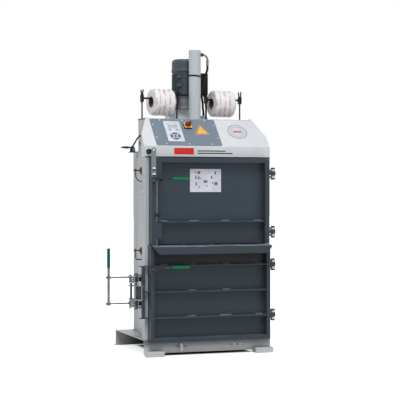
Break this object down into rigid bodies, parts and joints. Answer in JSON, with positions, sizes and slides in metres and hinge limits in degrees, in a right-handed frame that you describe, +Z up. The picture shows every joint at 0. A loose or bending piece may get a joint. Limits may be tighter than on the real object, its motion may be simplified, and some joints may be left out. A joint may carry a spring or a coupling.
{
  "type": "vertical recycling baler",
  "caption": "Upright strapping baler with a sloped control hood, two side-hinged front doors, toggle latch, press cylinder, motor and two strap rolls.",
  "frame": {"origin": "on the floor, in the middle of the four floor-anchor holes", "axes": "+X to the right of someone facing the machine, -Y its front, +Z up"},
  "size_m": [1.124, 0.829, 2.003],
  "materials": {
    "body_grey": "satin powder coat",
    "hood_grey": "satin powder coat",
    "door_slate": "satin powder coat",
    "panel_blue": "satin",
    "tank_grey": "satin",
    "cylinder_grey": "satin",
    "motor_slate": "satin enamel",
    "cast_grey": "as cast",
    "chamber_steel": "worn bare steel",
    "zinc_plate": "bright zinc plate",
    "rod_chrome": "ground and plated",
    "screw_white": "gloss",
    "stand_brown": "dark primer",
    "keypad_light": "membrane",
    "switch_yellow": "gloss",
    "knob_red": "gloss",
    "black_plastic": "matte",
    "grip_green": "soft matte",
    "hose_black": "matte",
    "strap_white": "semi-gloss strap",
    "core_card": "raw card"
  },
  "bodies": {
    "frame": {"base_plate": "body_grey", "front_apron": "body_grey", "front_feet": "body_grey", "left_column": "body_grey", "right_column": "body_grey", "chamber_shell": "body_grey", "chamber_floor": "chamber_steel", "chamber_deck": "body_grey", "left_upright": "body_grey", "right_upright": "body_grey", "crosshead": "body_grey", "hood": "hood_grey", "panel_plate": "panel_blue", "panel_screws": "screw_white", "keypad": "keypad_light", "switch_plate": "switch_yellow", "cylinder_barrel": "cylinder_grey", "cylinder_gland": "motor_slate", "oil_tank": "tank_grey", "bell_housing": "cast_grey", "motor_stator": "motor_slate", "fan_cowl": "motor_slate", "terminal_box": "black_plastic", "hose_fittings": "zinc_plate", "pressure_hose": "hose_black", "motor_cable": "hose_black", "left_spool_stand": "stand_brown", "right_spool_stand": "stand_brown", "interlock_switch": "black_plastic", "hinge_hardware": "zinc_plate", "latch_bracket": "zinc_plate", "bow_brackets": "zinc_plate", "ejector_bracket": "zinc_plate", "ejector_cable": "hose_black", "left_strap_tail": "strap_white"},
    "main_switch": {"switch_knob": "knob_red"},
    "platen": {"press_platen": "door_slate", "piston_rod": "rod_chrome"},
    "left_roll": {"left_strap_roll": "strap_white", "left_roll_core": "core_card"},
    "right_roll": {"right_strap_roll": "strap_white", "right_roll_core": "core_card"},
    "upper_door": {"upper_door_frame": "door_slate", "upper_door_panel": "door_slate", "interlock_bar": "zinc_plate"},
    "upper_lever": {"upper_lever": "zinc_plate", "upper_lever_grip": "grip_green"},
    "coupling_rod": {"coupling_rod": "zinc_plate"},
    "lower_door": {"lower_door_frame": "door_slate", "lower_door_panel": "door_slate", "loading_lip": "door_slate"},
    "lower_lever": {"lower_lever": "zinc_plate", "lower_lever_grip": "grip_green"},
    "latch_handle": {"latch_handle": "zinc_plate", "latch_grip": "grip_green"},
    "latch_hook": {"latch_hook": "zinc_plate"},
    "upper_bow": {"upper_bow": "zinc_plate"},
    "lower_bow": {"lower_bow": "zinc_plate"},
    "ejector_lever": {"ejector_lever": "zinc_plate", "ejector_grip": "grip_green"}
  },
  "joints": [
    {"name": "main_switch_turn", "type": "hinge", "parent": "frame", "child": "main_switch", "pos_m": [-0.099, -0.19141, 1.48512], "axis": [0, -0.7052, 0.709], "range_deg": [-90, 0]},
    {"name": "platen_stroke", "type": "slide", "parent": "frame", "child": "platen", "axis": [0, 0, 1], "range_m": [-0.5, 0]},
    {"name": "left_roll_spin", "type": "hinge", "parent": "frame", "child": "left_roll", "pos_m": [-0.214, 0.027, 1.65391], "axis": [0.9877, 0.1564, 0], "continuous": true},
    {"name": "right_roll_spin", "type": "hinge", "parent": "frame", "child": "right_roll", "pos_m": [0.214, 0.027, 1.65225], "axis": [0.9954, 0.0958, 0], "continuous": true},
    {"name": "upper_door_hinge", "type": "hinge", "parent": "frame", "child": "upper_door", "pos_m": [0.435, -0.364, 0.985], "axis": [0, 0, 1], "range_deg": [0, 110]},
    {"name": "lower_door_hinge", "type": "hinge", "parent": "frame", "child": "lower_door", "pos_m": [0.435, -0.364, 0.415], "axis": [0, 0, 1], "range_deg": [0, 110]},
    {"name": "upper_lever_turn", "type": "hinge", "parent": "upper_door", "child": "upper_lever", "pos_m": [-0.385, -0.434, 1.138], "axis": [0, 0, 1], "range_deg": [-110, 0]},
    {"name": "lower_lever_turn", "type": "hinge", "parent": "lower_door", "child": "lower_lever", "pos_m": [-0.388, -0.434, 0.573], "axis": [0, 0, 1], "range_deg": [-110, 0]},
    {"name": "coupling_rod_drop", "type": "slide", "parent": "upper_door", "child": "coupling_rod", "axis": [0, 0, 1], "range_m": [-0.03, 0]},
    {"name": "latch_handle_turn", "type": "hinge", "parent": "frame", "child": "latch_handle", "pos_m": [-0.472, -0.274, 0.419], "axis": [0, 0, 1], "range_deg": [0, 90]},
    {"name": "latch_hook_turn", "type": "hinge", "parent": "latch_handle", "child": "latch_hook", "pos_m": [-0.506, -0.274, 0.419], "axis": [0, 0, 1], "range_deg": [-117, 0]},
    {"name": "upper_bow_swing", "type": "hinge", "parent": "frame", "child": "upper_bow", "pos_m": [-0.416, -0.062, 1.196], "axis": [1, 0, 0], "range_deg": [-75, 75]},
    {"name": "lower_bow_swing", "type": "hinge", "parent": "frame", "child": "lower_bow", "pos_m": [-0.416, -0.062, 0.668], "axis": [1, 0, 0], "range_deg": [-75, 75]},
    {"name": "ejector_lever_lift", "type": "hinge", "parent": "frame", "child": "ejector_lever", "pos_m": [-0.392, 0.106, 1.352], "axis": [0, 1, 0], "range_deg": [0, 70]}
  ],
  "couplings": [
    {"joint": "latch_hook_turn", "follows": "latch_handle_turn", "ratio": -1.3}
  ]
}
